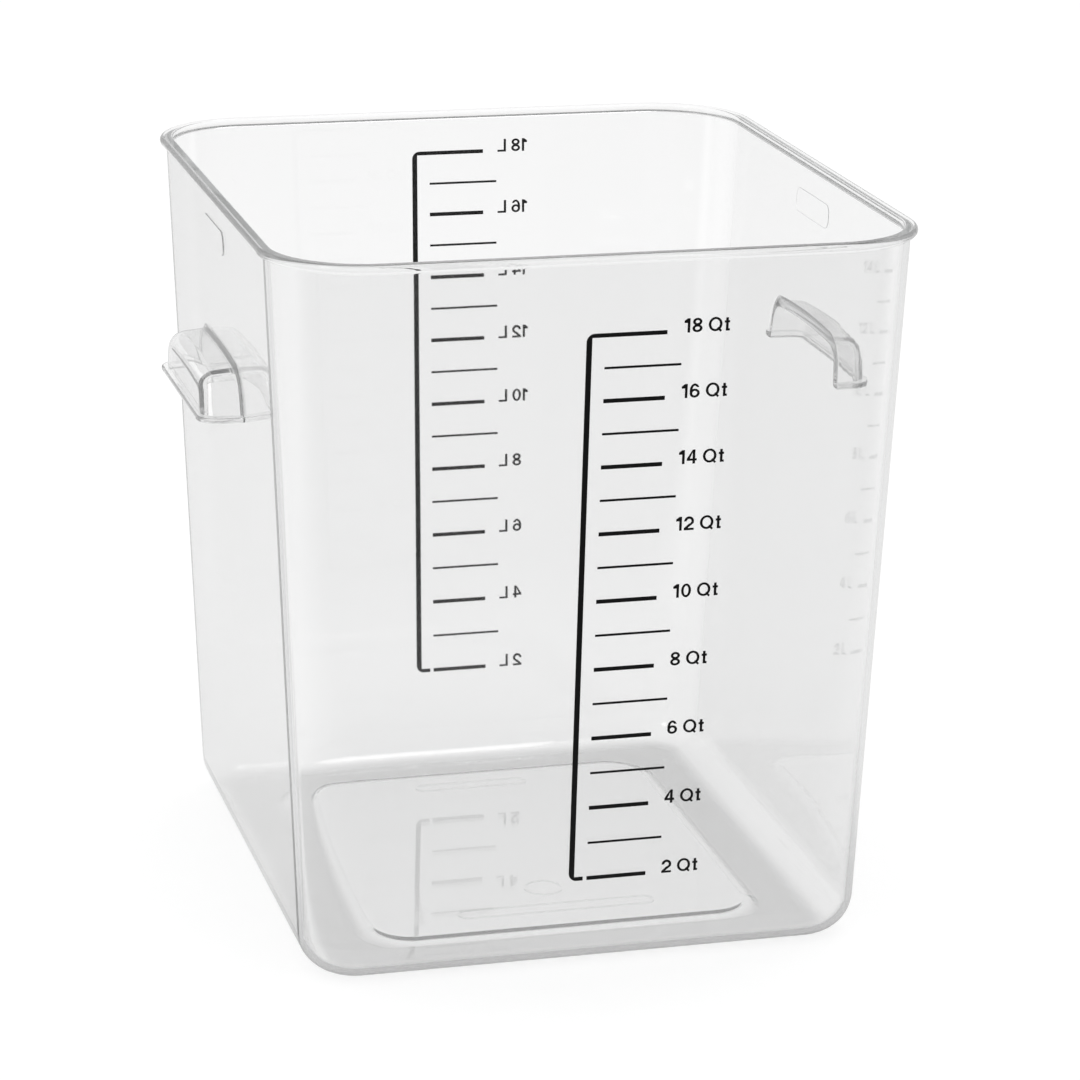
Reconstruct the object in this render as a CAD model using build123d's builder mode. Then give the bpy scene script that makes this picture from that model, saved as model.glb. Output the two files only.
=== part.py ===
from build123d import *
import os
from math import hypot, pi

# A clear, straight-sided tub for proofing dough: one thin plastic moulding with two
# handles, and a volume scale printed on the outside of two opposite walls.
#
# Millimetres. +Z is up, and the origin is the middle of the base on the plane it rests on.
# The quart scale is on the front wall, at -Y, and the litre scale on the back wall, at +Y.
# The handles stand out of the side walls, at -X and +X.

# Overall size, over the rim
rim_length_x = 268.4
rim_length_y = 298.4
height = 304.0

# Walls: the plan shrinks and its corners tighten towards the base
wall = 2.8
base_length_x = 236.0
base_length_y = 259.6
top_corner_radius = 39.4
base_corner_radius = 23.5

# Rim: a bead that stands out all round the mouth
rim_overhang = 2.6
rim_height = 3.6
rim_round = 1.7
mouth_round = 1.0

# Base: a rounded heel, a flat ring that it stands on and a raised floor in the middle
heel_radius = 17.5
heel_height = 19.5
floor_margin = 32.6
floor_rise = 2.2
floor_corner_radius = 21.0
floor_edge_round = 1.4

# Handles: a hood on each side wall, open below, with a small lip round its lower edge.
# The drop is from the top of the rim to that edge.
handle_drop = 86.5
handle_rise = 18.8
handle_crown = 2.0
handle_foot_width = 94.4
handle_top_width = 85.0
handle_reach = 16.6
handle_wall = 3.0
handle_arch_radius = 11.0
handle_edge_radius = 7.0
handle_draft = 5.0
lip_width = 2.2
lip_height = 2.2
lip_round = 0.8

# Blank plaques: a thin raised pad near the top of each side wall, its middle a drop below the rim
plaque_length = 42.0
plaque_height = 10.5
plaque_drop = 19.0
plaque_depth = 0.4
plaque_round = 4.0

# Marks under the floor: a round insert mark and two blank strips, all thin ridges.
# The margins are from the raised floor's front or rear edge to the middle of each mark.
mark_depth = 0.3
ridge = 0.8
insert_mark_width = 16.5
insert_mark_margin = 47.4
front_strip_length = 86.0
front_strip_width = 9.0
front_strip_margin = 25.4
rear_strip_length = 52.0
rear_strip_width = 8.0
rear_strip_margin = 18.4

# Volumes: the edges of the cubes that hold one quart and one litre
quart_edge = 98.1788
litre_edge = 100.0
scale_zero = 8.7
scale_headroom = 10.0
first_mark = 2
mark_tolerance = 0.001

# Print: a bracket, thick even marks, thin odd marks and a label at each even mark
ink = 0.15
bracket_width = 2.3
bracket_round = 3.4
bracket_inner_round = 1.1
hook_gap = 1.6
even_mark_width = 1.7
odd_mark_width = 0.95
quart_bracket_x = -10.3
quart_mark_start = -3.9
litre_bracket_x = -12.2
litre_mark_start = -5.3
even_mark_length = 25.0
odd_mark_length = 31.2
label_gap = 6.8

# Lettering
cap_height = 5.8
pen = 1.05
digit_width = 4.1
one_width = 2.4
quart_width = 5.6
small_t_width = 2.2
litre_width = 4.0
letter_gap = 0.9
word_gap = 2.5
label_drop = 0.6
tail_angle = -45.0

# How far a cut runs past the face that it opens
overrun = 1.0

rim_bottom = height - rim_height
top_length_x = rim_length_x - 2 * rim_overhang
top_length_y = rim_length_y - 2 * rim_overhang
floor_top = floor_rise + wall
handle_foot = height - handle_drop
handle_top = handle_foot + handle_rise
plaque_centre = height - plaque_drop


def plan(z, inset):
    """Length, width and corner radius of the walls' plan at a height, inset from the outer face."""
    up = z / height
    length_x = base_length_x + (top_length_x - base_length_x) * up - 2 * inset
    length_y = base_length_y + (top_length_y - base_length_y) * up - 2 * inset
    radius = base_corner_radius + (top_corner_radius - base_corner_radius) * up - inset
    return length_x, length_y, radius


def tapered_block(low, high, inset):
    """The space within the walls' plan between two heights."""
    with BuildPart() as block:
        for z in (low, high):
            with BuildSketch(Plane.XY.offset(z)):
                RectangleRounded(*plan(z, inset))
        loft(ruled=True)
    return block.part


def finish(piece, name):
    """Name a finished piece and write it to its own file."""
    piece.part.label = name
    export_step(piece.part, f"parts/{name}.step")


os.makedirs("parts", exist_ok=True)

# Walls, between the heel and the rim
with BuildPart() as tub_walls:
    add(tapered_block(heel_height, rim_bottom, 0))
    add(tapered_block(heel_height - overrun, rim_bottom + overrun, wall), mode=Mode.SUBTRACT)
finish(tub_walls, "tub_walls")

# Rim bead, rounded on its outer side and eased at the mouth
with BuildPart() as rim_bead:
    with BuildSketch(Plane.XY.offset(rim_bottom)):
        RectangleRounded(rim_length_x, rim_length_y, top_corner_radius + rim_overhang)
    extrude(amount=rim_height)
    fillet(rim_bead.edges().group_by(Axis.Z)[-1], rim_round)
    fillet(rim_bead.edges().group_by(Axis.Z)[0], rim_round)
    add(tapered_block(rim_bottom - overrun, height + overrun, wall), mode=Mode.SUBTRACT)
    mouth_edges = rim_bead.faces().sort_by(Axis.Z)[-1].inner_wires()[0].edges()
    fillet(mouth_edges, mouth_round)
finish(rim_bead, "rim_bead")

# Heel and foot ring: the curve from the walls into the base, and the riser of the raised floor
with BuildPart() as heel_space:
    add(tapered_block(wall, heel_height + overrun, wall))
    fillet(heel_space.edges().group_by(Axis.Z)[0], heel_radius - wall)

floor_length_x = base_length_x - 2 * floor_margin
floor_length_y = base_length_y - 2 * floor_margin

with BuildPart() as foot_ring:
    add(tapered_block(0, heel_height, 0))
    fillet(foot_ring.edges().group_by(Axis.Z)[0], heel_radius)
    add(heel_space.part, mode=Mode.SUBTRACT)
    with BuildSketch(Plane.XY.offset(wall)):
        RectangleRounded(floor_length_x, floor_length_y, floor_corner_radius)
    extrude(amount=floor_rise)
    fillet(foot_ring.faces().filter_by(Axis.Z).sort_by(Axis.Z)[-2].edges(), floor_edge_round)
    with BuildSketch():
        RectangleRounded(floor_length_x - 2 * wall, floor_length_y - 2 * wall, floor_corner_radius - wall)
    extrude(amount=floor_top + overrun, mode=Mode.SUBTRACT)
finish(foot_ring, "heel_and_foot_ring")

# Raised floor panel
with BuildPart() as floor_panel:
    with BuildSketch(Plane.XY.offset(floor_rise)):
        RectangleRounded(floor_length_x - 2 * wall, floor_length_y - 2 * wall, floor_corner_radius - wall)
    extrude(amount=wall)
finish(floor_panel, "raised_floor")

# Marks under the raised floor
with BuildPart() as insert_mark:
    with BuildSketch(Plane.XY.offset(floor_rise)):
        with Locations((0, insert_mark_margin - floor_length_y / 2)):
            Circle(insert_mark_width / 2)
            Circle(insert_mark_width / 2 - ridge, mode=Mode.SUBTRACT)
    extrude(amount=-mark_depth)
finish(insert_mark, "round_insert_mark")

with BuildPart() as base_strips:
    strips = (
        (front_strip_margin - floor_length_y / 2, front_strip_length, front_strip_width),
        (floor_length_y / 2 - rear_strip_margin, rear_strip_length, rear_strip_width),
    )
    with BuildSketch(Plane.XY.offset(floor_rise)):
        for back, length, width in strips:
            with Locations((0, back)):
                SlotOverall(length, width)
                SlotOverall(length - 2 * ridge, width - 2 * ridge, mode=Mode.SUBTRACT)
    extrude(amount=-mark_depth)
finish(base_strips, "blank_base_strips")


# Handles, drawn on the right wall and mirrored to the left
def hood_block(inset):
    """The hood's outer shape, or the space inside it when inset by the hood's wall."""
    start = plan(handle_foot, 0)[0] / 2 - overrun
    foot_half = handle_foot_width / 2 - inset
    top_half = handle_top_width / 2 - inset
    top = handle_top - inset
    low = handle_foot - handle_reach / 2
    open_end = handle_foot - overrun if inset else handle_foot
    with BuildPart() as hood:
        with BuildSketch(Plane.YZ.offset(start)) as elevation:
            with BuildLine():
                Polyline((-top_half, top), (-foot_half, low), (foot_half, low), (top_half, top))
                ThreePointArc((top_half, top), (0, top + handle_crown), (-top_half, top))
            make_face()
            fillet(elevation.vertices().group_by(Axis.Y)[-1], handle_arch_radius - inset)
        extrude(amount=handle_reach + overrun - inset, taper=handle_draft)
        fillet(hood.faces().sort_by(Axis.X)[-1].edges(), handle_edge_radius - inset)
        split(bisect_by=Plane.XY.offset(open_end), keep=Keep.TOP)
    return hood.part


# Lip round the hood's lower edge
with BuildPart() as handle_lip:
    lip_reach = handle_reach + lip_width
    lip_span = handle_foot_width + 2 * lip_width
    with BuildSketch(Plane.XY.offset(handle_foot)):
        with Locations((plan(handle_foot, 0)[0] / 2, 0)):
            RectangleRounded(2 * lip_reach, lip_span, handle_edge_radius + lip_width)
    extrude(amount=lip_height)
    fillet(handle_lip.edges().group_by(Axis.Z)[-1], lip_round)
    fillet(handle_lip.edges().group_by(Axis.Z)[0], lip_round)

with BuildPart() as handle_right:
    add(hood_block(0))
    add(handle_lip.part)
    add(tapered_block(0, height, 0), mode=Mode.SUBTRACT)
    add(hood_block(handle_wall), mode=Mode.SUBTRACT)
finish(handle_right, "handle_right")

with BuildPart() as handle_left:
    mirror(handle_right.part, about=Plane.YZ)
finish(handle_left, "handle_left")

# Planes on the outer faces of the walls, with y up the wall from the base
side_slope = (top_length_x - base_length_x) / 2 / height
front_slope = (top_length_y - base_length_y) / 2 / height
right_wall = Plane(origin=(base_length_x / 2, 0, 0), x_dir=(0, 1, 0), z_dir=(1, 0, -side_slope))
front_wall = Plane(origin=(0, -base_length_y / 2, 0), x_dir=(1, 0, 0), z_dir=(0, -1, -front_slope))
back_wall = Plane(origin=(0, base_length_y / 2, 0), x_dir=(-1, 0, 0), z_dir=(0, 1, -front_slope))

# Blank plaques
with BuildPart() as plaque_right:
    with BuildSketch(right_wall):
        with Locations((0, plaque_centre * hypot(1, side_slope))):
            RectangleRounded(plaque_length, plaque_height, plaque_round)
    extrude(amount=plaque_depth)
finish(plaque_right, "plaque_right")

with BuildPart() as plaque_left:
    mirror(plaque_right.part, about=Plane.YZ)
finish(plaque_left, "plaque_left")


# Heights of the marks
def inside_area(z):
    """Area inside the walls at a height."""
    length_x, length_y, radius = plan(z, wall)
    return length_x * length_y - (4 - pi) * radius**2


def mark_height(volume):
    """Height at which the tub holds a volume, found by halving the range that it lies in.

    The volume below a height is its mean area, by Simpson's rule, times the depth.
    """
    low = scale_zero
    high = 2 * height
    while high - low > mark_tolerance:
        middle = (low + high) / 2
        half_way = (scale_zero + middle) / 2
        mean_area = (inside_area(scale_zero) + 4 * inside_area(half_way) + inside_area(middle)) / 6
        if mean_area * (middle - scale_zero) < volume:
            low = middle
        else:
            high = middle
    return low


def marks_up_the_wall(unit_edge):
    """The numbers of the marks that fit under the rim, up to an even one, and their places."""
    places = {}
    number = first_mark
    while mark_height((number + number % 2) * unit_edge**3) < rim_bottom - scale_headroom:
        places[number] = mark_height(number * unit_edge**3) * hypot(1, front_slope)
        number += 1
    return places


# Characters, each drawn from its lower left corner in shares of its width and height
thin_share = 0.85
flag_share = 0.68
upper_loop_width_share = 0.92
upper_loop_low_share = 0.47
lower_loop_high_share = 0.54
six_loop_high_share = 0.63
six_gap_high_share = 0.74
two_arc_end_share = 0.25
two_arc_side_share = 0.93
two_foot_share = 0.36
four_bar_share = 0.21
four_stem_share = 0.58
four_slope_share = 0.30
tail_x_share = 0.80
tail_y_share = 0.12
t_top_share = 0.93
t_bar_share = 0.72
thin_pen = pen * thin_share


def bar(left, right, low, high, mode=Mode.ADD):
    """A rectangle between two corners."""
    with Locations(((left + right) / 2, (low + high) / 2)):
        Rectangle(abs(right - left), high - low, mode=mode)


def loop(left, width, low, high):
    """An upright oval loop."""
    with Locations((left + width / 2, (low + high) / 2)):
        Ellipse(width / 2, (high - low) / 2)
        Ellipse(width / 2 - pen, (high - low) / 2 - thin_pen, mode=Mode.SUBTRACT)


def draw_zero():
    loop(0, digit_width, 0, cap_height)


def draw_one():
    stem = one_width - pen
    flag = flag_share * cap_height
    bar(stem, one_width, 0, cap_height)
    Polygon((0, flag), (stem, flag), (stem, cap_height), (0, flag + thin_pen), align=None)


def draw_two():
    half = digit_width / 2
    centre = cap_height - half
    arc_end = centre - two_arc_end_share * digit_width
    with Locations((half, centre)):
        Circle(half)
        Circle(half - pen, mode=Mode.SUBTRACT)
    bar(0, half, centre - half, centre, mode=Mode.SUBTRACT)
    bar(half, digit_width, centre - half, arc_end, mode=Mode.SUBTRACT)
    arc_side = two_arc_side_share * digit_width
    foot = two_foot_share * digit_width
    Polygon((half, arc_end), (arc_side, arc_end), (foot, thin_pen), (0, thin_pen), align=None)
    bar(0, digit_width, 0, thin_pen)


def draw_four():
    low = four_bar_share * cap_height
    stem = four_stem_share * digit_width
    slope = four_slope_share * digit_width
    bar(0, digit_width, low, low + thin_pen)
    bar(stem, stem + pen, 0, cap_height)
    arm_low = (slope, low + thin_pen)
    arm_high = (stem, cap_height - pen)
    Polygon((0, low + thin_pen), arm_low, arm_high, (stem, cap_height), align=None)


def draw_six():
    loop(0, digit_width, 0, cap_height)
    middle = six_loop_high_share * cap_height / 2
    bar(digit_width / 2, digit_width, middle, six_gap_high_share * cap_height, mode=Mode.SUBTRACT)
    loop(0, digit_width, 0, six_loop_high_share * cap_height)


def draw_eight():
    upper_width = upper_loop_width_share * digit_width
    loop((digit_width - upper_width) / 2, upper_width, upper_loop_low_share * cap_height, cap_height)
    loop(0, digit_width, 0, lower_loop_high_share * cap_height)


def draw_capital_q():
    loop(0, quart_width, 0, cap_height)
    with Locations((tail_x_share * quart_width, tail_y_share * cap_height)):
        Rectangle(2 * pen, thin_pen, rotation=tail_angle)


def draw_small_t():
    stem = (small_t_width - pen) / 2
    high = t_bar_share * cap_height
    bar(stem, stem + pen, 0, t_top_share * cap_height)
    bar(0, small_t_width, high - thin_pen, high)
    bar(stem, small_t_width, 0, thin_pen)


def draw_capital_l():
    bar(0, pen, 0, cap_height)
    bar(0, litre_width, 0, thin_pen)


def drawn(draw):
    """The face of one character."""
    with BuildSketch() as face:
        draw()
    return face.sketch


characters = {
    "0": (drawn(draw_zero), digit_width),
    "1": (drawn(draw_one), one_width),
    "2": (drawn(draw_two), digit_width),
    "4": (drawn(draw_four), digit_width),
    "6": (drawn(draw_six), digit_width),
    "8": (drawn(draw_eight), digit_width),
    "Q": (drawn(draw_capital_q), quart_width),
    "t": (drawn(draw_small_t), small_t_width),
    "L": (drawn(draw_capital_l), litre_width),
}


def text_width(text):
    """Width of a run of characters with the gaps between them."""
    return sum(characters[letter][1] + letter_gap for letter in text) - letter_gap


def write(text, left, baseline):
    """Set a run of characters in the open sketch."""
    for letter in text:
        face, width = characters[letter]
        with Locations((left, baseline)):
            add(face)
        left += width + letter_gap


# Print: every drawing is flat, with x along the wall and y up it
def bracket(way, bracket_x, mark_start, places):
    """The upright line, with the top mark at one end and a short hook at the other."""
    back = bracket_x - bracket_width / 2
    front = bracket_x + bracket_width / 2
    hook_end = mark_start - hook_gap
    mark_end = mark_start + even_mark_length
    low = min(places.values())
    high = max(places.values())
    half = even_mark_width / 2
    with BuildSketch() as outline:
        Polygon(
            (way * back, low - half),
            (way * hook_end, low - half),
            (way * hook_end, low + half),
            (way * front, low + half),
            (way * front, high - half),
            (way * mark_end, high - half),
            (way * mark_end, high + half),
            (way * back, high + half),
            align=None,
        )
        across = outline.vertices().group_by(Axis.X, reverse=way < 0)
        fillet(across[0], bracket_round)
        fillet(across[1], bracket_inner_round)
    return outline.sketch


def marks(way, mark_start, places, remainder, length, width):
    """The even or odd marks below the top one."""
    with BuildSketch() as lines:
        for number, y in places.items():
            if number % 2 == remainder and number < max(places):
                bar(way * mark_start, way * (mark_start + length), y - width / 2, y + width / 2)
    return lines.sketch


def labels(way, mark_start, places, unit, with_numbers):
    """The numbers of the even marks, or the unit letters that follow them."""
    with BuildSketch() as text:
        for number, y in places.items():
            if number % 2 == 0:
                digits = str(number)
                number_width = text_width(digits) + word_gap
                left = way * (mark_start + even_mark_length + label_gap)
                if way < 0:
                    left -= number_width + text_width(unit)
                if with_numbers:
                    write(digits, left, y - label_drop)
                else:
                    write(unit, left + number_width, y - label_drop)
    return text.sketch


def printed(drawing, wall_plane, name):
    """A thin layer of ink on a wall."""
    with BuildPart() as layer:
        with BuildSketch(wall_plane):
            add(drawing)
        extrude(amount=ink)
    finish(layer, name)


def print_scale(name, wall_plane, way, bracket_x, mark_start, unit_edge, unit):
    """One whole scale, whose marks run one way or the other along the wall."""
    places = marks_up_the_wall(unit_edge)
    even = marks(way, mark_start, places, 0, even_mark_length, even_mark_width)
    odd = marks(way, mark_start, places, 1, odd_mark_length, odd_mark_width)
    printed(bracket(way, bracket_x, mark_start, places), wall_plane, f"{name}_bracket")
    printed(even, wall_plane, f"{name}_even_marks")
    printed(odd, wall_plane, f"{name}_odd_marks")
    printed(labels(way, mark_start, places, unit, True), wall_plane, f"{name}_numbers")
    printed(labels(way, mark_start, places, unit, False), wall_plane, f"{name}_letters")


print_scale("quart_scale", front_wall, 1, quart_bracket_x, quart_mark_start, quart_edge, "Qt")
print_scale("litre_scale", back_wall, -1, litre_bracket_x, litre_mark_start, litre_edge, "L")
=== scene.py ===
from math import atan, cos, hypot, pi, radians, sin, tan

import bmesh
import bpy
from mathutils import Matrix, Vector


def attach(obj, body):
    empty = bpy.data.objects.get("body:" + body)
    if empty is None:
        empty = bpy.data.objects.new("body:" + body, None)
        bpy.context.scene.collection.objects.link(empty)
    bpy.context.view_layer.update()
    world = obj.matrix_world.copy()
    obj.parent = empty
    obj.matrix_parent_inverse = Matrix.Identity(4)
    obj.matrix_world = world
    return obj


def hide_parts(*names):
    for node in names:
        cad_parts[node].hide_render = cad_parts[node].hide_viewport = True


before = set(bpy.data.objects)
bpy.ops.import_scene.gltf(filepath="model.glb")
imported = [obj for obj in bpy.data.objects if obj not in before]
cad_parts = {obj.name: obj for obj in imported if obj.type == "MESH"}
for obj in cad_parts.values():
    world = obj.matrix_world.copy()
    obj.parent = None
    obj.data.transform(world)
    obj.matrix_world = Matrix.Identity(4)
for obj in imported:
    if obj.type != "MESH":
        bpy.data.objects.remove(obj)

bl_info = {
    "name": "Dough Proofing Container",
    "version": (1, 0, 0),
    "blender": (4, 5, 0),
    "location": "3D View > Sidebar > Proofing Container",
    "description": "Builds a clear polycarbonate dough tub with printed volume scales round its CAD frame",
    "category": "Object",
}

MM = 0.001
SAME_PLACE = 1e-6
OVERRUN = 1 * MM
WALL_BITE = 1 * MM
# Two sections of the tub that are level are set this far apart. With less, a bridge can twist.
SKIN = 0.02 * MM

# Plastic: polished in the mould. Where the tub stands, up to the height below, it is scuffed rougher, and its
# tint there is darker: painted shade of the foot's contact with the floor
PLASTIC_IOR = 1.585
POLISHED_ROUGHNESS = 0.02
WORN_ROUGHNESS = 0.2
WEAR_AND_PAINTED_SHADE_HEIGHT = 2 * MM
RIPPLE_LENGTH = 28 * MM
RIPPLE_HEIGHT = 0.05 * MM
SHARP_ANGLE = radians(32)
# Shadow that a face casts where the light grazes it
EDGE_SHADE = 0.09
# Light that is mirrored this often inside a wall is trapped there. This share of it leaves.
MOST_MIRRORS = 4
TRAPPED_SHARE = 0.55

# Screen ink: the mesh marks are drawn as coarse as they need to show
MESH_MARK = 0.9 * MM
INK_ROUGHNESS = (0.42, 0.55)

# Steps in each curve
CORNER_STEPS = 24
HEEL_STEPS = 14
BEAD_STEPS = 6
SMALL_STEPS = 4
RAMP_STEPS = 8
ARCH_STEPS = 8
EDGE_STEPS = 8
CROWN_STEPS = 11

# Studio: the photograph's camera, as yaw, pitch and roll in degrees, and soft lamps
CAMERA_PLACE = (-0.41821, -1.58409, 0.64853)
CAMERA_TURN = (-15.132, -17.090, 0.837)
CAMERA_LENS = 132.753
# Each lamp's name, place, width in metres and power in watts
LAMPS = (
    ("soft_lamp_left", (-1.6, -1.1, 1.7), 0.5, 2.5),
    ("soft_lamp_top", (0.6, 0.2, 2.4), 0.6, 3.0),
)
LAMP_AIM = (0, 0, 0.15)
FLOOR_SIZE = 24
AMBIENT = 0.95
# Mirrored light is less towards the front (-Y) than towards the back, by direction in the
# studio and by place in metres on the floor
STUDIO_WAY = (-0.6, 0.1)
STUDIO_LEVEL = (0.75, 0.85)
FLOOR_WAY = (-0.34, 0.0)
FLOOR_LEVEL = (0.2, 0.8)
FLOOR_LIFT = 0.25
PIECE = "clear_tub"
BODY = "root"
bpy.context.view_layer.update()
TUB_NODES = (
    "tub_walls",
    "rim_bead",
    "heel_and_foot_ring",
    "raised_floor",
    "handle_left",
    "handle_right",
    "plaque_left",
    "plaque_right",
    "round_insert_mark",
    "blank_base_strips",
)
INK_NODES = tuple(
    f"{unit}_scale_{part}"
    for unit in ("quart", "litre")
    for part in ("bracket", "even_marks", "odd_marks", "numbers", "letters")
)


def size(name, description, millimetres):
    """A length property, given in millimetres."""
    return bpy.props.FloatProperty(
        name=name, description=description, default=millimetres * MM, unit="LENGTH", precision=5
    )


def colour(name, description, code):
    """A colour property, given as an sRGB hex code."""
    return bpy.props.FloatVectorProperty(
        name=name, description=description, default=linear(code), subtype="COLOR", size=4, min=0, max=1
    )


def linear(code):
    """An sRGB hex code as a linear colour with full alpha."""
    channels = [int(code[place : place + 2], 16) / 255 for place in (1, 3, 5)]
    return (
        *(c / 12.92 if c <= 0.04045 else ((c + 0.055) / 1.055) ** 2.4 for c in channels),
        1.0,
    )


class TubSizes(bpy.types.PropertyGroup):
    """Sizes of the moulding, which agree with the CAD part's."""

    rim_length_x: size("Rim length", "Length over the rim, across the handles", 268.4)
    rim_length_y: size("Rim width", "Width over the rim, from front to back", 298.4)
    height: size("Height", "Height over the rim", 304.0)
    wall: size("Wall", "Thickness of the walls and the base", 2.8)
    base_length_x: size("Base length", "Length of the base before its heel is rounded", 236.0)
    base_length_y: size("Base width", "Width of the base before its heel is rounded", 259.6)
    top_radius: size("Top corner radius", "Corner radius of the walls at the rim", 39.4)
    base_radius: size("Base corner radius", "Corner radius of the walls at the base", 23.5)
    rim_overhang: size("Rim overhang", "How far the bead stands out of the walls", 2.6)
    rim_height: size("Rim height", "Height of the bead", 3.6)
    rim_round: size("Rim round", "Radius of the bead's outer edges", 1.7)
    mouth_round: size("Mouth round", "Radius of the inner edge of the mouth", 1.0)
    heel_radius: size("Heel radius", "Radius of the curve from the walls into the base", 17.5)
    floor_margin: size("Floor margin", "Distance from the base's side to the raised floor", 32.6)
    floor_rise: size("Floor rise", "Height of the raised floor over the foot ring", 2.2)
    floor_radius: size("Floor corner radius", "Corner radius of the raised floor", 21.0)
    floor_ramp: size("Floor ramp", "Width of the slope round the raised floor", 7.6)
    soft_edge: size("Soft edge", "Radius that a mould leaves in its sharp corners", 0.8)


class HandleSizes(bpy.types.PropertyGroup):
    """Sizes of the hood handles."""

    foot: size("Foot height", "Height of the open lower edge", 217.5)
    top: size("Top height", "Height of the top at its ends", 236.3)
    crown: size("Crown", "Rise of the top at its middle", 2.0)
    foot_width: size("Foot width", "Width at the lower edge", 94.4)
    top_width: size("Top width", "Width at the top", 85.0)
    reach: size("Reach", "How far the hood stands out of the wall", 16.6)
    wall: size("Hood wall", "Thickness of the hood", 3.0)
    arch_radius: size("Arch radius", "Radius of the hood's upper corners", 11.0)
    edge_radius: size("Edge radius", "Radius between the hood's sides and its face", 7.0)
    lip_width: size("Lip width", "How far the lip stands out of the hood", 2.2)
    lip_height: size("Lip height", "Height of the lip", 2.2)
    lip_round: size("Lip round", "Radius of the lip's edges", 0.8)
    blend: size("Blend", "Radius of the hollow where the hood meets the wall", 2.0)
    draft: bpy.props.FloatProperty(
        name="Draft",
        description="Lean of the hood's sides",
        default=radians(5),
        subtype="ANGLE",
        unit="ROTATION",
    )


class MarkSizes(bpy.types.PropertyGroup):
    """Sizes of the thin moulded marks."""

    plaque_length: size("Plaque length", "Length of the blank plaque on a side wall", 42.0)
    plaque_height: size("Plaque height", "Height of the blank plaque", 10.5)
    plaque_centre: size("Plaque centre", "Height of the plaque's middle", 285.0)
    plaque_depth: size("Plaque depth", "How far the plaque stands out", 0.4)
    plaque_round: size("Plaque round", "Corner radius of the plaque", 4.0)
    mark_depth: size("Mark depth", "How far the marks under the floor stand out", 0.3)
    ridge: size("Ridge", "Width of the ridges under the floor", 0.8)
    insert_width: size("Insert mark", "Width of the round insert mark", 16.5)
    insert_back: size("Insert place", "Place of the insert mark from the middle", -49.8)
    front_strip_length: size("Front strip length", "Length of the front blank strip", 86.0)
    front_strip_width: size("Front strip width", "Width of the front blank strip", 9.0)
    front_strip_back: size("Front strip place", "Place of the front strip from the middle", -71.8)
    rear_strip_length: size("Rear strip length", "Length of the rear blank strip", 52.0)
    rear_strip_width: size("Rear strip width", "Width of the rear blank strip", 8.0)
    rear_strip_back: size("Rear strip place", "Place of the rear strip from the middle", 78.8)


class Finishes(bpy.types.PropertyGroup):
    """Colours and gloss of the two materials and the stage."""

    plastic: colour("Polycarbonate", "Tint of the clear plastic at its surface", "#FBFBFB")
    plastic_depth: colour("Polycarbonate depth", "Tint of light that has come through it", "#F0F1F1")
    plastic_shade: colour("Polycarbonate shade", "Tint of the light that a face lets through", "#FCFCFC")
    ink: colour("Screen ink", "Colour of the printed scales", "#050506")
    # The foot ring's darker tint is painted shade of its contact with the floor; the scuffing itself only
    # makes the foot rougher
    plastic_foot_painted_shade: colour("Worn foot", "Tint of the foot ring, scuffed from standing", "#D0D0D0")
    floor: colour("Floor", "Colour of the studio floor", "#E8E8E8")


# Small helpers for meshes


def deselect():
    """Leave nothing selected, because an operator acts on all that is."""
    for item in bpy.context.selected_objects:
        item.select_set(False)


def activate(item):
    """Select one object alone."""
    deselect()
    item.select_set(True)
    bpy.context.view_layer.objects.active = item


def vertex_count(item):
    """How many vertices the open mesh has."""
    item.update_from_editmode()
    return len(item.data.vertices)


def select_vertices(item, wanted):
    """Select the open mesh's vertices that pass a test."""
    bpy.ops.mesh.select_all(action="DESELECT")
    mesh = bmesh.from_edit_mesh(item.data)
    for vertex in mesh.verts:
        vertex.select_set(wanted(vertex))
    mesh.select_flush(True)
    bmesh.update_edit_mesh(item.data)


def open_mesh(name):
    """Start a new mesh object with nothing in it, in edit mode."""
    deselect()
    bpy.ops.mesh.primitive_plane_add(size=1)
    item = bpy.context.object
    item.name = item.data.name = name
    bpy.ops.object.mode_set(mode="EDIT")
    bpy.ops.mesh.select_mode(type="VERT")
    bpy.ops.mesh.select_all(action="SELECT")
    bpy.ops.mesh.delete(type="VERT")
    return item


def close_mesh():
    """Merge doubles, point the faces outwards and leave edit mode."""
    bpy.ops.mesh.select_all(action="SELECT")
    bpy.ops.mesh.remove_doubles(threshold=SAME_PLACE)
    bpy.ops.mesh.normals_make_consistent(inside=False)
    bpy.ops.object.mode_set(mode="OBJECT")


def add_plane(length_x, length_y, z):
    """Add one level rectangle to the open mesh."""
    bpy.ops.mesh.primitive_plane_add(size=1, location=(0, 0, z))
    bpy.ops.transform.resize(value=(length_x, length_y, 1), center_override=(0, 0, z))


def add_section(item, length_x, length_y, radius, z, steps):
    """Add a level rounded rectangle and return the numbers of its vertices."""
    first = vertex_count(item)
    add_plane(length_x, length_y, z)
    bpy.ops.mesh.bevel(offset=radius, segments=steps, affect="VERTICES")
    bpy.ops.mesh.delete(type="ONLY_FACE")
    return set(range(first, vertex_count(item)))


def bridge(item, first, second):
    """Join two sections by a band of faces."""
    mesh = bmesh.from_edit_mesh(item.data)
    bpy.ops.mesh.select_all(action="DESELECT")
    for edge in mesh.edges:
        ends = {vertex.index for vertex in edge.verts}
        if ends <= first or ends <= second:
            edge.select_set(True)
    bmesh.update_edit_mesh(item.data)
    bpy.ops.mesh.bridge_edge_loops()


def join_sections(item, rings):
    """Bridge each section to the next and cap both ends."""
    for first, second in zip(rings, rings[1:]):
        bridge(item, first, second)
    for ring in (rings[0], rings[-1]):
        select_vertices(item, lambda vertex: vertex.index in ring)
        bpy.ops.mesh.edge_face_add()
    close_mesh()


def loft(name, sections, steps):
    """A solid through sections, each given as length, width, corner radius and height."""
    item = open_mesh(name)
    join_sections(item, [add_section(item, *section, steps) for section in sections])
    return item


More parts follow.
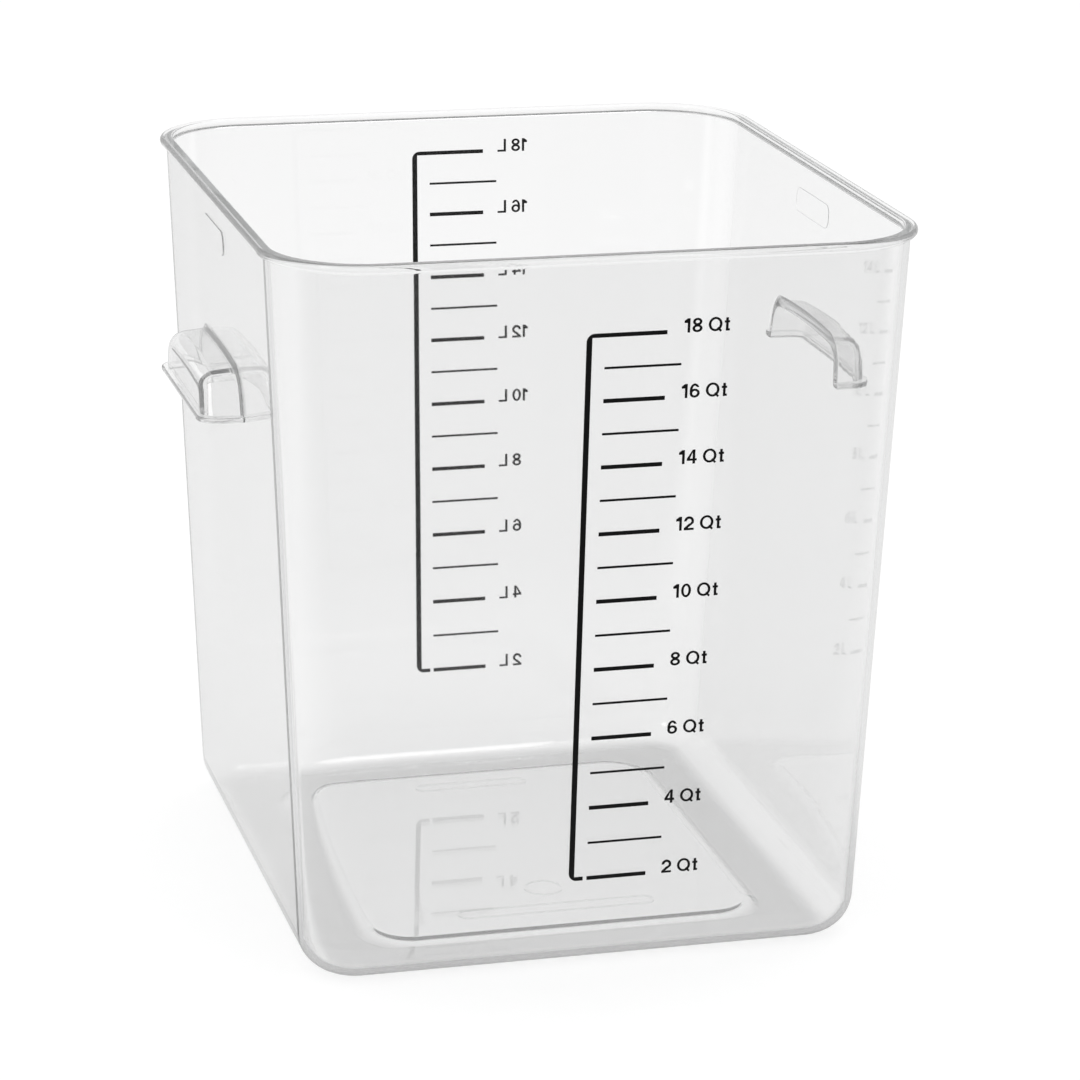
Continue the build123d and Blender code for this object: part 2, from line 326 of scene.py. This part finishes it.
def combine(item, tool, operation):
    """Add a solid to another, or take it away, and remove it."""
    activate(item)
    bpy.ops.object.modifier_add(type="BOOLEAN")
    modifier = item.modifiers[-1]
    modifier.operation = operation
    modifier.solver = "EXACT"
    modifier.object = tool
    bpy.ops.object.modifier_apply(modifier=modifier.name)
    bpy.data.objects.remove(tool)


def place(item, matrix):
    """Move a finished mesh to its place and leave its object at the origin."""
    activate(item)
    item.matrix_world = matrix
    bpy.ops.object.transform_apply(location=True, rotation=True, scale=True)


def mirrored(item, name):
    """A copy on the other side of the middle, with its own mesh."""
    activate(item)
    bpy.ops.object.duplicate()
    copy = bpy.context.object
    copy.name = copy.data.name = name
    copy.scale.x = -1
    bpy.ops.object.transform_apply(location=False, rotation=False, scale=True)
    bpy.ops.object.mode_set(mode="EDIT")
    close_mesh()
    return copy


def quarter(steps):
    """The sines and cosines of a quarter turn in even steps."""
    return [(sin(pi / 2 * step / steps), cos(pi / 2 * step / steps)) for step in range(steps + 1)]


# The moulding's plans, all as length, width, corner radius and height


def wall_plan(sizes, z, inset):
    """The walls' plan at a height, inset from the outer face."""
    up = z / sizes.height
    top_x = sizes.rim_length_x - 2 * sizes.rim_overhang
    top_y = sizes.rim_length_y - 2 * sizes.rim_overhang
    return (
        sizes.base_length_x + (top_x - sizes.base_length_x) * up - 2 * inset,
        sizes.base_length_y + (top_y - sizes.base_length_y) * up - 2 * inset,
        sizes.base_radius + (sizes.top_radius - sizes.base_radius) * up - inset,
        z,
    )


def bead_plan(sizes, z, inset):
    """The rim bead's plan, inset from its outer face."""
    return (
        sizes.rim_length_x - 2 * inset,
        sizes.rim_length_y - 2 * inset,
        sizes.top_radius + sizes.rim_overhang - inset,
        z,
    )


def floor_plan(sizes, z, inset):
    """The raised floor's plan, inset from its upper riser."""
    return (
        sizes.base_length_x - 2 * sizes.floor_margin - 2 * inset,
        sizes.base_length_y - 2 * sizes.floor_margin - 2 * inset,
        sizes.floor_radius - inset,
        z,
    )


def side_slope(sizes):
    """How far a side wall leans out for each metre of height."""
    return (wall_plan(sizes, sizes.height, 0)[0] - sizes.base_length_x) / 2 / sizes.height


def heel(sizes, low, radius, inset):
    """Sections of the curve from a level base into the leaning walls, from the base up."""
    front_slope = (wall_plan(sizes, sizes.height, 0)[1] - sizes.base_length_y) / 2 / sizes.height
    slope = (side_slope(sizes) + front_slope) / 2
    turn = pi / 2 - atan(slope)
    sections = []
    for step in range(HEEL_STEPS + 1):
        angle = turn * step / HEEL_STEPS
        z = low + radius - radius * cos(angle)
        in_from_wall = slope * (z - low - radius) + radius * hypot(1, slope) - radius * sin(angle)
        sections.append(wall_plan(sizes, z, inset + in_from_wall))
    return sections


def ramp(sizes, low):
    """Sections of the soft slope from the foot ring up to the raised floor."""
    sections = []
    for step in range(RAMP_STEPS + 1):
        along = step / RAMP_STEPS
        inset = sizes.wall / 2 + sizes.floor_ramp * (along - 0.5)
        sections.append(floor_plan(sizes, low + sizes.floor_rise * along**2 * (3 - 2 * along), inset))
    return sections


def moulding_sections(sizes):
    """The whole moulding's section, from the underside of the floor round the rim to its top."""
    small = sizes.soft_edge
    rim_bottom = sizes.height - sizes.rim_height
    bead = sizes.rim_round
    sections = []
    sections += reversed(ramp(sizes, 0))
    sections += heel(sizes, 0, sizes.heel_radius, 0)
    for s, c in quarter(SMALL_STEPS):
        sections.append(wall_plan(sizes, rim_bottom - small + small * s, small * (c - 1)))
    for s, c in quarter(BEAD_STEPS):
        sections.append(bead_plan(sizes, rim_bottom + bead - bead * c, bead - bead * s))
    for s, c in quarter(BEAD_STEPS):
        sections.append(bead_plan(sizes, sizes.height - bead + bead * s, bead - bead * c))
    mouth = sizes.mouth_round
    for s, c in quarter(SMALL_STEPS):
        sections.append(wall_plan(sizes, sizes.height - mouth + mouth * c, sizes.wall - mouth + mouth * s))
    sections += reversed(heel(sizes, sizes.wall, sizes.heel_radius - sizes.wall, sizes.wall))
    sections += ramp(sizes, sizes.wall)
    return [part_from_last(sections, number) for number in range(len(sections))]


def part_from_last(sections, number):
    """A section, moved a hair towards the next where it is level with the last, which a bridge needs."""
    *plan, z = sections[number]
    if 0 < number < len(sections) - 1 and abs(sections[number - 1][3] - z) < SAME_PLACE:
        z += SKIN if sections[number + 1][3] > z else -SKIN
    return (*plan, z)


# The hood handle, drawn lying down: x along the wall, y up it and z out of it


def add_arch(item, hood, out, inset, low):
    """Add an arch-shaped section of the hood at a distance out of the wall."""
    lean = atan((hood.foot_width - hood.top_width) / 2 / (hood.top - hood.foot + hood.reach / 2))
    top = hood.top - inset
    foot_half = hood.foot_width / 2 - (low - hood.foot + hood.reach / 2) * tan(lean) - inset / cos(lean)
    top_half = foot_half - (top - low) * tan(lean)
    tangent = (hood.arch_radius - inset) / tan((pi / 2 + lean) / 2)
    first = vertex_count(item)
    add_plane(2 * foot_half, top - low, out)
    bpy.ops.transform.translate(value=(0, (top + low) / 2, 0))
    select_vertices(item, lambda vertex: vertex.index >= first and vertex.co.y > (top + low) / 2)
    bpy.ops.transform.resize(value=(top_half / foot_half, 1, 1), center_override=(0, top, out))
    bpy.ops.mesh.bevel(offset=tangent, segments=ARCH_STEPS, affect="VERTICES")
    flat = top_half - tangent + SAME_PLACE
    select_vertices(
        item,
        lambda vertex: vertex.index >= first and abs(vertex.co.x) < flat and vertex.co.y > top - SAME_PLACE,
    )
    bpy.ops.mesh.subdivide(number_cuts=CROWN_STEPS)
    select_vertices(item, lambda vertex: vertex.index >= first)
    bpy.ops.mesh.delete(type="ONLY_FACE")
    return set(range(first, vertex_count(item)))


def arch_block(name, hood, inset, low, blend, slope):
    """The hood's outer block, or the room inside it when inset by the hood's wall."""
    item = open_mesh(name)
    end = hood.reach - inset
    radius = hood.edge_radius - inset
    stations = [(-WALL_BITE, -blend)]
    stations += [(blend * (1 - c), -blend * (1 - s)) for s, c in quarter(SMALL_STEPS)] if blend else []
    stations = [(out, in_ + max(out, 0) * tan(hood.draft)) for out, in_ in stations]
    centre_in = (end - radius) * tan(hood.draft) + radius / cos(hood.draft)
    for step in range(EDGE_STEPS + 1):
        angle = hood.draft + (pi / 2 - hood.draft) * step / EDGE_STEPS
        stations.append((end - radius + radius * sin(angle), centre_in - radius * cos(angle)))
    rings = []
    for out, in_ in stations:
        rings.append(add_arch(item, hood, out, inset + in_, low))
        upright = min(max(out, 0) / (end - radius), 1)
        select_vertices(item, lambda vertex: vertex.index in rings[-1])
        mesh = bmesh.from_edit_mesh(item.data)
        for vertex in mesh.verts:
            if vertex.select:
                reach = max(0, 1 - (vertex.co.x / (hood.top_width / 2)) ** 2)
                if vertex.co.y > (hood.top + hood.foot) / 2:
                    vertex.co.y += hood.crown * reach
                vertex.co.z += slope * (vertex.co.y - hood.foot) * (1 - upright)
        bmesh.update_edit_mesh(item.data)
    join_sections(item, rings)
    return item


def hood_shell(sizes, hood):
    """The right hood: a block with a lip round its foot, hollowed from below and behind."""
    slope = side_slope(sizes)
    wall_x = wall_plan(sizes, hood.foot, 0)[0] / 2
    on_wall = Matrix(((0, 0, 1, wall_x), (1, 0, 0, 0), (0, 1, 0, 0), (0, 0, 0, 1)))
    outer = arch_block("hood", hood, 0, hood.foot, hood.blend, slope)
    place(outer, on_wall)
    length_x = 2 * (hood.reach + hood.lip_width)
    length_y = hood.foot_width + 2 * hood.lip_width
    radius = hood.edge_radius + hood.lip_width
    edge = hood.lip_round
    lip_levels = [(edge - edge * s, hood.foot + edge - edge * c) for s, c in quarter(SMALL_STEPS)]
    lip_levels += [
        (edge - edge * c, hood.foot + hood.lip_height - edge + edge * s) for s, c in quarter(SMALL_STEPS)
    ]
    lip = loft(
        "hood_lip",
        [(length_x - 2 * inset, length_y - 2 * inset, radius - inset, z) for inset, z in lip_levels],
        ARCH_STEPS,
    )
    place(lip, Matrix.Translation((wall_x, 0, 0)))
    activate(lip)
    bpy.ops.object.mode_set(mode="EDIT")
    bpy.ops.mesh.select_all(action="SELECT")
    bpy.ops.mesh.bisect(
        plane_co=(wall_x - WALL_BITE, 0, 0), plane_no=(1, 0, 0), use_fill=True, clear_inner=True
    )
    close_mesh()
    combine(outer, lip, "UNION")
    room = arch_block("hood_room", hood, hood.wall, hood.foot - OVERRUN, 0, slope)
    place(room, on_wall)
    combine(outer, room, "DIFFERENCE")
    return outer


def divide_underside(item, z, cuts):
    """Cut the flat underside of the floor across into strips, so that each mark joins a simple face."""
    activate(item)
    bpy.ops.object.mode_set(mode="EDIT")
    for cut in cuts:
        select_vertices(item, lambda vertex: abs(vertex.co.z - z) < SAME_PLACE)
        bpy.ops.mesh.bisect(plane_co=(0, cut, 0), plane_no=(0, 1, 0))
    bpy.ops.object.mode_set(mode="OBJECT")


def slot_block(name, length, width, back, low, high):
    """An upright block with the plan of a slot or a circle."""
    radius = width / 2 - 10 * SAME_PLACE
    item = loft(name, [(length, width, radius, z) for z in (low, high)], ARCH_STEPS)
    place(item, Matrix.Translation((0, back, 0)))
    return item


# Materials


def add_node(tree, kind, inputs, **settings):
    """Add one node, with its settings and with each input set or linked."""
    node = tree.nodes.new(kind)
    for name, value in settings.items():
        setattr(node, name, value)
    for name, value in inputs.items():
        if isinstance(value, bpy.types.NodeSocket):
            tree.links.new(value, node.inputs[name])
        else:
            node.inputs[name].default_value = value
    return node


def new_material(name):
    """An empty node material and its output node."""
    material = bpy.data.materials.new(name)
    material.use_nodes = True
    material.node_tree.nodes.clear()
    return material, material.node_tree, add_node(material.node_tree, "ShaderNodeOutputMaterial", {})


def polycarbonate(finish):
    """Injection-moulded clear polycarbonate, from a polished mould.

    It shows as clear, hard and glossy, with a faint ripple from the mould in what it mirrors.
    """
    material, tree, output = new_material("moulded_clear_polycarbonate")
    place_on = add_node(tree, "ShaderNodeTexCoord", {})
    ripple = add_node(
        tree,
        "ShaderNodeTexNoise",
        {"Vector": place_on.outputs["Object"], "Scale": 1 / RIPPLE_LENGTH, "Detail": 1.0},
    )
    bump = add_node(
        tree, "ShaderNodeBump", {"Height": ripple.outputs["Fac"], "Strength": 0.25, "Distance": RIPPLE_HEIGHT}
    )
    height = add_node(tree, "ShaderNodeSeparateXYZ", {"Vector": place_on.outputs["Object"]})
    # Mask for the foot: below this height the plastic is rougher from scuffing and darker from painted shade
    wear_and_painted_shade = add_node(
        tree,
        "ShaderNodeMapRange",
        {"Value": height.outputs["Z"], "From Max": WEAR_AND_PAINTED_SHADE_HEIGHT, "To Min": 1.0, "To Max": 0.0},
    )
    # Painted shade: the foot ring takes the darker tint where the mask is full
    tint = add_node(
        tree,
        "ShaderNodeMix",
        {0: wear_and_painted_shade.outputs["Result"], 6: finish.plastic, 7: finish.plastic_foot_painted_shade},
        data_type="RGBA",
    )
    gloss = add_node(
        tree,
        "ShaderNodeMapRange",
        {"Value": wear_and_painted_shade.outputs["Result"], "To Min": POLISHED_ROUGHNESS, "To Max": WORN_ROUGHNESS},
    )
    surface = add_node(
        tree,
        "ShaderNodeBsdfPrincipled",
        {
            "Base Color": tint.outputs[2],
            "Roughness": gloss.outputs["Result"],
            "IOR": PLASTIC_IOR,
            "Transmission Weight": 1.0,
            "Normal": bump.outputs["Normal"],
        },
    )
    depth = add_node(tree, "ShaderNodeVolumeAbsorption", {"Color": finish.plastic_depth, "Density": 20.0})
    path = add_node(tree, "ShaderNodeLightPath", {})
    through = add_node(
        tree,
        "ShaderNodeMath",
        {0: path.outputs["Is Shadow Ray"], 1: path.outputs["Is Diffuse Ray"]},
        operation="MAXIMUM",
    )
    trapped = add_node(
        tree,
        "ShaderNodeMapRange",
        {
            "Value": path.outputs["Glossy Depth"],
            "From Min": MOST_MIRRORS - 1,
            "From Max": MOST_MIRRORS,
            "To Max": TRAPPED_SHARE,
        },
    )
    through = add_node(
        tree, "ShaderNodeMath", {0: through.outputs[0], 1: trapped.outputs["Result"]}, operation="MAXIMUM"
    )
    edge_on = add_node(tree, "ShaderNodeFresnel", {"IOR": PLASTIC_IOR})
    lost = add_node(tree, "ShaderNodeMath", {0: edge_on.outputs[0], 1: EDGE_SHADE}, operation="MULTIPLY")
    shade = add_node(
        tree,
        "ShaderNodeMix",
        {0: lost.outputs[0], 6: finish.plastic_shade, 7: (0, 0, 0, 1)},
        data_type="RGBA",
    )
    clear = add_node(tree, "ShaderNodeBsdfTransparent", {"Color": shade.outputs[2]})
    both = add_node(
        tree, "ShaderNodeMixShader", {0: through.outputs[0], 1: surface.outputs["BSDF"], 2: clear.outputs[0]}
    )
    tree.links.new(both.outputs[0], output.inputs["Surface"])
    tree.links.new(depth.outputs["Volume"], output.inputs["Volume"])
    return material


def screen_ink(finish):
    """Black screen-printing ink, baked on: flat black, with a faint grain from the screen."""
    material, tree, output = new_material("baked_black_screen_ink")
    place_on = add_node(tree, "ShaderNodeTexCoord", {})
    mesh_marks = add_node(
        tree,
        "ShaderNodeTexNoise",
        {"Vector": place_on.outputs["Object"], "Scale": 1 / MESH_MARK, "Detail": 2.0},
    )
    shade = add_node(
        tree,
        "ShaderNodeMapRange",
        {
            "Value": mesh_marks.outputs["Fac"],
            "From Min": 0.3,
            "From Max": 0.7,
            "To Min": INK_ROUGHNESS[0],
            "To Max": INK_ROUGHNESS[1],
        },
    )
    surface = add_node(
        tree,
        "ShaderNodeBsdfPrincipled",
        {
            "Base Color": finish.ink,
            "Roughness": shade.outputs["Result"],
            "IOR": 1.5,
            "Specular IOR Level": 0.25,
        },
    )
    tree.links.new(surface.outputs["BSDF"], output.inputs["Surface"])
    return material


def floor_paint(finish):
    """Pale studio floor: it keeps shadows, and shows white where nothing shades it."""
    material, tree, output = new_material("pale_studio_floor")
    path = add_node(tree, "ShaderNodeLightPath", {})
    seen = add_node(
        tree,
        "ShaderNodeMath",
        {0: path.outputs["Is Camera Ray"], 1: path.outputs["Is Glossy Ray"]},
        operation="MAXIMUM",
    )
    seen = add_node(
        tree,
        "ShaderNodeMath",
        {0: seen.outputs[0], 1: path.outputs["Is Transmission Ray"]},
        operation="MAXIMUM",
    )
    paint = add_node(tree, "ShaderNodeBsdfDiffuse", {"Color": finish.floor})
    lift = add_node(tree, "ShaderNodeMath", {0: seen.outputs[0], 1: FLOOR_LIFT}, operation="MULTIPLY")
    glow = add_node(tree, "ShaderNodeEmission", {"Color": (1, 1, 1, 1), "Strength": lift.outputs[0]})
    both = add_node(tree, "ShaderNodeAddShader", {0: paint.outputs[0], 1: glow.outputs[0]})
    place_on = add_node(tree, "ShaderNodeTexCoord", {})
    level = mirrored_level(tree, path, place_on.outputs["Object"], FLOOR_WAY, FLOOR_LEVEL)
    dimmed = add_node(tree, "ShaderNodeMixShader", {0: level, 2: both.outputs[0]})
    tree.links.new(dimmed.outputs[0], output.inputs["Surface"])
    return material


def mirrored_level(tree, path, way, ends, levels):
    """Full strength for light that comes straight, and less for mirrored light, by its way or place."""
    side = add_node(tree, "ShaderNodeSeparateXYZ", {"Vector": way})
    there = add_node(
        tree,
        "ShaderNodeMapRange",
        {
            "Value": side.outputs["Y"],
            "From Min": ends[0],
            "From Max": ends[1],
            "To Min": levels[0],
            "To Max": levels[1],
        },
    )
    level = add_node(
        tree,
        "ShaderNodeMapRange",
        {"Value": path.outputs["Glossy Depth"], "To Min": 1.0, "To Max": there.outputs["Result"]},
    )
    return level.outputs["Result"]


# Operators


class PROOFING_OT_add_tub(bpy.types.Operator):
    """Mould the tub: walls, rim bead, heel, foot ring and raised floor in one closed shell"""

    bl_idname = "proofing.add_tub"
    bl_label = "Mould the Tub"

    def execute(self, context):
        item = loft(PIECE, moulding_sections(context.scene.tub_sizes), CORNER_STEPS)
        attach(item, BODY)
        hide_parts(*TUB_NODES)
        return {"FINISHED"}


class PROOFING_OT_add_hoods(bpy.types.Operator):
    """Mould a hood handle onto each side wall"""

    bl_idname = "proofing.add_hoods"
    bl_label = "Add the Hood Handles"

    def execute(self, context):
        tub = bpy.data.objects[PIECE]
        right = hood_shell(context.scene.tub_sizes, context.scene.handle_sizes)
        left = mirrored(right, "hood_left")
        combine(tub, right, "UNION")
        combine(tub, left, "UNION")
        return {"FINISHED"}


class PROOFING_OT_add_marks(bpy.types.Operator):
    """Raise the blank plaques, the insert mark and the blank strips out of the moulding"""

    bl_idname = "proofing.add_marks"
    bl_label = "Add the Moulded Marks"

    def execute(self, context):
        sizes = context.scene.tub_sizes
        marks = context.scene.mark_sizes
        tub = bpy.data.objects[PIECE]
        edge = marks.plaque_depth / 2
        flat = marks.plaque_depth - edge
        levels = [(0, -WALL_BITE), (0, flat)]
        levels += [(edge - edge * c, flat + edge * s) for s, c in quarter(SMALL_STEPS)[1:]]
        plaque = loft(
            "plaque_right",
            [
                (marks.plaque_length - 2 * i, marks.plaque_height - 2 * i, marks.plaque_round - i, z)
                for i, z in levels
            ],
            ARCH_STEPS,
        )
        slope = side_slope(sizes)
        wall_x = wall_plan(sizes, marks.plaque_centre, 0)[0] / 2
        out = Vector((1, 0, -slope)).normalized()
        along = Vector((0, 1, 0))
        up = out.cross(along)
        turn = Matrix((along, up, out)).transposed().to_4x4()
        place(plaque, Matrix.Translation((wall_x, 0, marks.plaque_centre)) @ turn)
        other = mirrored(plaque, "plaque_left")
        combine(tub, plaque, "UNION")
        combine(tub, other, "UNION")
        low = sizes.floor_rise - marks.mark_depth
        outlines = (
            (marks.insert_width, marks.insert_width, marks.insert_back),
            (marks.front_strip_length, marks.front_strip_width, marks.front_strip_back),
            (marks.rear_strip_length, marks.rear_strip_width, marks.rear_strip_back),
        )
        cuts = [back + side * width for _, width, back in outlines for side in (-1, 1)]
        divide_underside(tub, sizes.floor_rise, cuts)
        for length, width, back in outlines:
            pad = slot_block("base_mark", length, width, back, low, sizes.floor_rise + WALL_BITE)
            combine(tub, pad, "UNION")
            inner_length, inner_width = length - 2 * marks.ridge, width - 2 * marks.ridge
            room = slot_block("mark_room", inner_length, inner_width, back, 0, sizes.floor_rise - SKIN)
            combine(tub, room, "DIFFERENCE")
        return {"FINISHED"}


class PROOFING_OT_finish_tub(bpy.types.Operator):
    """Smooth the moulding's curves, keep its flats flat and give it its plastic"""

    bl_idname = "proofing.finish_tub"
    bl_label = "Finish the Tub"

    def execute(self, context):
        tub = bpy.data.objects[PIECE]
        activate(tub)
        bpy.ops.object.shade_smooth_by_angle(angle=SHARP_ANGLE)
        bpy.ops.object.modifier_add(type="WEIGHTED_NORMAL")
        flats = tub.modifiers[-1]
        flats.weight = 90
        flats.keep_sharp = True
        bpy.ops.object.modifier_apply(modifier=flats.name)
        tub.data.materials.clear()
        tub.data.materials.append(polycarbonate(context.scene.finishes))
        return {"FINISHED"}


class PROOFING_OT_ink_scales(bpy.types.Operator):
    """Give both printed scales their black ink"""

    bl_idname = "proofing.ink_scales"
    bl_label = "Ink the Scales"

    def execute(self, context):
        ink = screen_ink(context.scene.finishes)
        for name in INK_NODES:
            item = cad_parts[name]
            for slot in item.material_slots:
                slot.material = ink
        return {"FINISHED"}


class PROOFING_OT_set_stage(bpy.types.Operator):
    """Set the pale floor, the soft studio light and the camera"""

    bl_idname = "proofing.set_stage"
    bl_label = "Set the Stage"

    def execute(self, context):
        deselect()
        bpy.ops.mesh.primitive_plane_add(size=FLOOR_SIZE, location=(0, 0, 0))
        floor = context.object
        floor.name = floor.data.name = "studio_floor"
        floor.data.materials.append(floor_paint(context.scene.finishes))
        set_world(context.scene)
        for name, place_at, length, power in LAMPS:
            data = bpy.data.lights.new(name, "AREA")
            data.shape = "SQUARE"
            data.size = length
            data.energy = power
            lamp = bpy.data.objects.new(name, data)
            context.scene.collection.objects.link(lamp)
            lamp.location = place_at
            ahead = Vector(LAMP_AIM) - Vector(place_at)
            lamp.rotation_euler = ahead.to_track_quat("-Z", "Y").to_euler()
            lamp.visible_camera = False
        set_camera(context.scene)
        context.scene.view_settings.view_transform = "Standard"
        return {"FINISHED"}


def set_world(scene):
    """A white studio, seen directly and through the plastic, with less light round it."""
    world = bpy.data.worlds.new("white_studio")
    world.use_nodes = True
    tree = world.node_tree
    tree.nodes.clear()
    output = add_node(tree, "ShaderNodeOutputWorld", {})
    path = add_node(tree, "ShaderNodeLightPath", {})
    way = add_node(tree, "ShaderNodeTexCoord", {})
    seen = add_node(
        tree, "ShaderNodeMath", {0: 1.0, 1: path.outputs["Is Diffuse Ray"]}, operation="SUBTRACT"
    )
    level = add_node(
        tree,
        "ShaderNodeMapRange",
        {
            "Value": seen.outputs[0],
            "To Min": AMBIENT,
            "To Max": mirrored_level(tree, path, way.outputs["Generated"], STUDIO_WAY, STUDIO_LEVEL),
        },
    )
    light = add_node(
        tree, "ShaderNodeBackground", {"Color": (1, 1, 1, 1), "Strength": level.outputs["Result"]}
    )
    tree.links.new(light.outputs[0], output.inputs["Surface"])
    scene.world = world


def set_camera(scene):
    """A long lens, high and to the left of the front."""
    data = bpy.data.cameras.new("photo_camera")
    data.lens = CAMERA_LENS
    data.sensor_width = 36
    data.clip_start, data.clip_end = 0.05, 50
    camera = bpy.data.objects.new("photo_camera", data)
    scene.collection.objects.link(camera)
    yaw, pitch, roll = (radians(angle) for angle in CAMERA_TURN)
    ahead = Vector((-sin(yaw) * cos(pitch), cos(yaw) * cos(pitch), sin(pitch)))
    level = ahead.cross(Vector((0, 0, 1))).normalized()
    above = level.cross(ahead)
    right = level * cos(roll) + above * sin(roll)
    up = above * cos(roll) - level * sin(roll)
    camera.matrix_world = Matrix.Translation(CAMERA_PLACE) @ Matrix((right, up, -ahead)).transposed().to_4x4()
    scene.camera = camera


class PROOFING_PT_panel(bpy.types.Panel):
    """Lists the steps in order"""

    bl_idname = "PROOFING_PT_panel"
    bl_label = "Proofing Container"
    bl_space_type = "VIEW_3D"
    bl_region_type = "UI"
    bl_category = "Proofing Container"

    def draw(self, context):
        for step in STEPS:
            self.layout.operator(step.bl_idname)


GROUPS = {
    "tub_sizes": TubSizes,
    "handle_sizes": HandleSizes,
    "mark_sizes": MarkSizes,
    "finishes": Finishes,
}
STEPS = (
    PROOFING_OT_add_tub,
    PROOFING_OT_add_hoods,
    PROOFING_OT_add_marks,
    PROOFING_OT_finish_tub,
    PROOFING_OT_ink_scales,
    PROOFING_OT_set_stage,
)


def register():
    for kind in (*GROUPS.values(), *STEPS, PROOFING_PT_panel):
        bpy.utils.register_class(kind)
    for name, kind in GROUPS.items():
        setattr(bpy.types.Scene, name, bpy.props.PointerProperty(type=kind))


def unregister():
    for name in GROUPS:
        delattr(bpy.types.Scene, name)
    for kind in (PROOFING_PT_panel, *reversed(STEPS), *reversed(GROUPS.values())):
        bpy.utils.unregister_class(kind)


def main():
    """Build the tub and its stage."""
    register()
    for step in STEPS:
        group, name = step.bl_idname.split(".")
        getattr(getattr(bpy.ops, group), name)()


if __name__ == "__main__":
    main()
